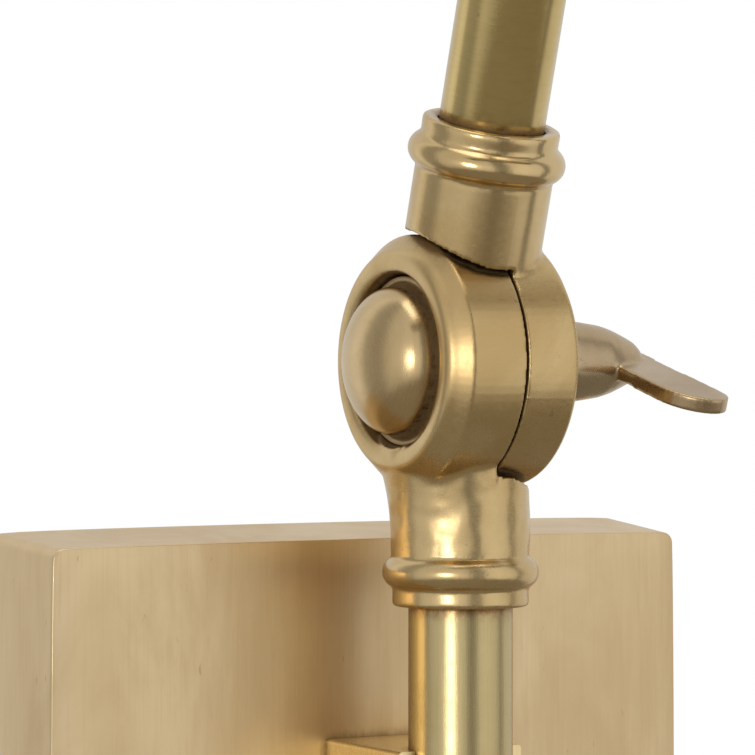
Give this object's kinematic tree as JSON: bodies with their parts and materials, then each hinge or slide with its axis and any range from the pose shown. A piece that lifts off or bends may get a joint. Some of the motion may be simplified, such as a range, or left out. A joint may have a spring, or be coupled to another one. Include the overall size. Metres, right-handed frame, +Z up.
{
  "type": "picture light",
  "caption": "Wall-mounted picture light: square backplate, post, two wing-nut knuckles, straight arm and a trough shade with tubular lamps.",
  "frame": {"origin": "centre of the wall bracket on the wall plane", "axes": "+Z up, +Y into the wall, +X to the viewer's right; the arm leans out along -Y"},
  "size_m": [0.3, 0.2143, 0.4021],
  "materials": {
    "plate_brass": "vertical brushed satin, clear lacquered",
    "block_brass": "brushed satin",
    "post_brass": "drawn and polished lengthwise",
    "tube_brass": "brushed round the tube",
    "cast_brass": "cast, ground and satin polished, dark in the crevices",
    "turned_brass": "turned, satin",
    "nut_brass": "cast, hand filed",
    "plain_brass": "plain machined",
    "sheet_brass": "lengthwise brushed satin",
    "reflector": "bright anodised",
    "zinc_steel": "zinc plated",
    "terminal_plastic": "moulded",
    "holder_ceramic": "unglazed porcelain",
    "lamp_glass": "frosted glass with a metal screw cap"
  },
  "bodies": {
    "wall": {"backplate": "plate_brass", "wall_bracket": "zinc_steel", "plate_studs": "zinc_steel", "plate_cap_nuts": "turned_brass", "earth_screw": "zinc_steel", "terminal_block": "terminal_plastic", "terminal_screws": "plain_brass", "arm_block": "block_brass", "block_screws": "zinc_steel", "post_tube": "post_brass", "post_finial": "cast_brass", "post_knuckle": "cast_brass", "post_pivot_bolt": "turned_brass", "post_friction_washer": "plain_brass", "post_spring_washer": "plain_brass"},
    "post_nut": {"post_wing_nut": "nut_brass"},
    "arm": {"arm_lower_knuckle": "cast_brass", "arm_tube": "tube_brass", "arm_upper_knuckle": "cast_brass"},
    "elbow_nut": {"elbow_wing_nut": "nut_brass"},
    "shade": {"shade_knuckle": "cast_brass", "elbow_pivot_bolt": "turned_brass", "elbow_friction_washer": "plain_brass", "elbow_spring_washer": "plain_brass", "shade_stem": "tube_brass", "stem_insert": "plain_brass", "stem_nipple": "plain_brass", "stem_nut": "plain_brass", "shade_saddle": "cast_brass", "shade_shell": "sheet_brass", "shade_reflector": "reflector", "shade_end_cap_left": "sheet_brass", "shade_end_cap_right": "sheet_brass", "lamp_bracket": "zinc_steel", "lampholder_left": "holder_ceramic", "lampholder_right": "holder_ceramic", "lampholder_screws": "zinc_steel", "lamp_left": "lamp_glass", "lamp_right": "lamp_glass"}
  },
  "joints": [
    {"name": "arm_tilt", "type": "hinge", "parent": "wall", "child": "arm", "pos_m": [0.0012, -0.042, 0.085], "axis": [1, 0, 0], "range_deg": [-22, 92]},
    {"name": "shade_tilt", "type": "hinge", "parent": "arm", "child": "shade", "pos_m": [0.0012, -0.11509, 0.32408], "axis": [1, 0, 0], "range_deg": [-60, 7]},
    {"name": "post_nut_turn", "type": "hinge", "parent": "wall", "child": "post_nut", "pos_m": [0.02, -0.042, 0.085], "axis": [1, 0, 0], "range_deg": [-90, 270]},
    {"name": "elbow_nut_turn", "type": "hinge", "parent": "shade", "child": "elbow_nut", "pos_m": [0.02, -0.11509, 0.32408], "axis": [1, 0, 0], "range_deg": [-90, 270]}
  ]
}
